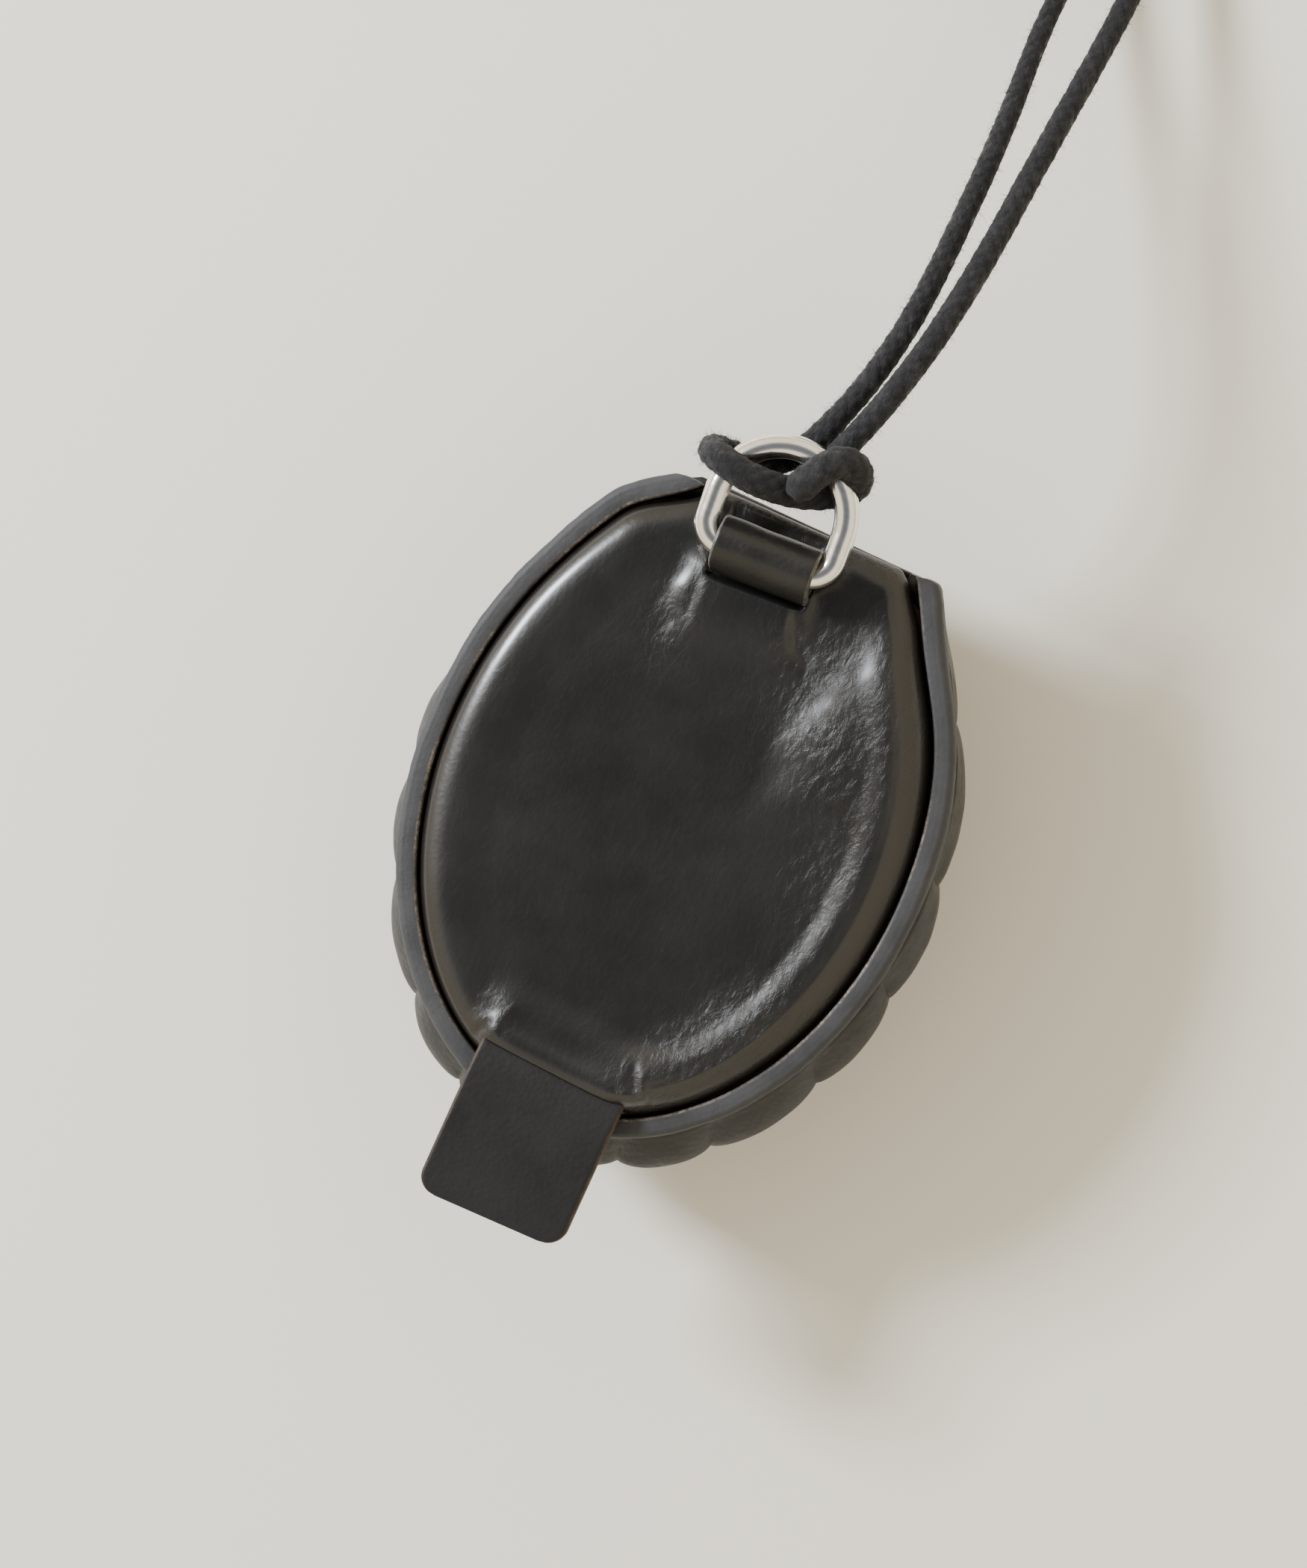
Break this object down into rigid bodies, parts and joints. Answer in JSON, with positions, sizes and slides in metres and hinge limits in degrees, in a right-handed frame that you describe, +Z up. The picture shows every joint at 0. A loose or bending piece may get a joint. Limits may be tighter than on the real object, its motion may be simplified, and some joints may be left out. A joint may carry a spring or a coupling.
{
  "type": "moulded leather neck pouch",
  "caption": "Scallop-shell coin pouch of moulded leather: ribbed domed front, puffed glossy back that opens by a tab, D-ring in a leather loop, and a doubled neck cord.",
  "frame": {"origin": "on the table, under the middle of the pouch's own box (the free cord left out)", "axes": "+Y towards the D-ring, +X across the pouch, +Z up, out of its flat back"},
  "size_m": [0.0728, 0.2012, 0.0368],
  "materials": {
    "shell_leather": "satin, wet-moulded",
    "lining_suede": "matt suede",
    "edge_leather": "matt, painted edge",
    "glazed_leather": "glazed, glossy",
    "padding": "felt",
    "strap_leather": "satin",
    "tab_leather": "matt",
    "ring_metal": "polished nickel",
    "cord_cotton": "braided cotton"
  },
  "bodies": {
    "shell": {"front_shell": "shell_leather", "shell_lining": "lining_suede", "rim_welt": "edge_leather", "hinge_strip": "edge_leather"},
    "lid": {"back_panel": "glazed_leather", "back_padding": "padding", "back_lining": "lining_suede", "ring_strap": "strap_leather"},
    "tab": {"pull_tab": "tab_leather"},
    "ring": {"d_ring": "ring_metal", "cord_hitch": "cord_cotton", "cord_left": "cord_cotton", "cord_right": "cord_cotton", "cord_coil": "cord_cotton", "coil_tie": "tab_leather", "cord_knot": "cord_cotton"}
  },
  "joints": [
    {"name": "lid_hinge", "type": "hinge", "parent": "shell", "child": "lid", "pos_m": [0, 0.0376, 0.0265], "axis": [-1, 0, 0], "range_deg": [0, 70]},
    {"name": "tab_flex", "type": "hinge", "parent": "lid", "child": "tab", "pos_m": [0.00035, -0.0306, 0.0289], "axis": [-1, 0, 0], "range_deg": [0, 50]},
    {"name": "ring_swing", "type": "hinge", "parent": "lid", "child": "ring", "pos_m": [-0.0031, 0.03355, 0.03215], "axis": [-1, 0, 0], "range_deg": [-70, 0]}
  ],
  "couplings": [
    {"joint": "ring_swing", "follows": "lid_hinge", "ratio": -1}
  ]
}
